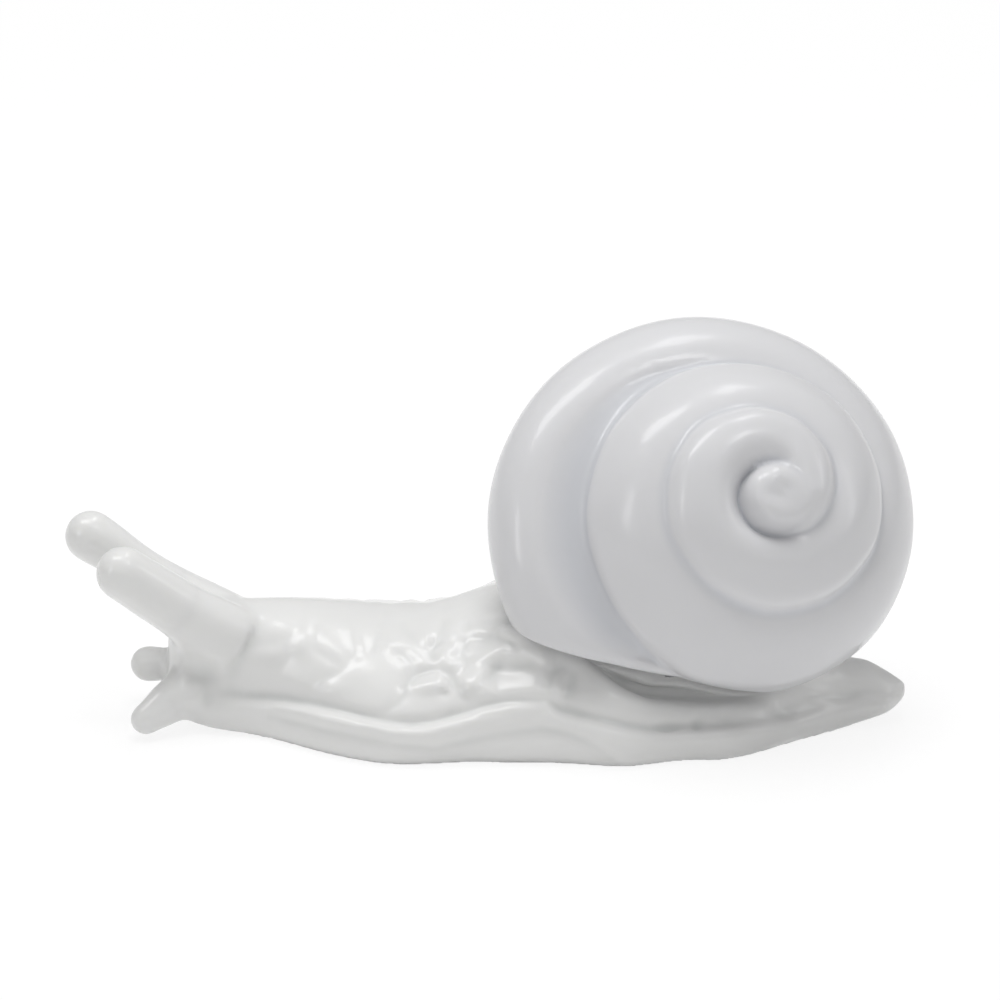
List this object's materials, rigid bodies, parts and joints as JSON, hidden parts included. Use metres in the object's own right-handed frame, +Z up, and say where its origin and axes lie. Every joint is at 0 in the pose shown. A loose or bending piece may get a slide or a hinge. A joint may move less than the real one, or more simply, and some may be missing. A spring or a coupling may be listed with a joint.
{
  "type": "snail figurine",
  "caption": "Glazed white snail ornament: flat crawling foot with a wavy skirt, raised head with eye stalks and feelers, and a spiral shell seated on its back.",
  "frame": {"origin": "on the flat sole, on its middle line, a little ahead of the shell's middle", "axes": "+Z up, -X towards the head, +X towards the tail, -Y towards the snail's left side, where the tip of the shell shows"},
  "size_m": [0.1512, 0.0611, 0.0706],
  "materials": {
    "body_glaze": "gloss",
    "shell_glaze": "gloss"
  },
  "bodies": {
    "root": {"body": "body_glaze", "shell": "shell_glaze", "eye_stalk_left": "body_glaze", "eye_stalk_right": "body_glaze", "feeler_left": "body_glaze", "feeler_right": "body_glaze"}
  },
  "joints": []
}
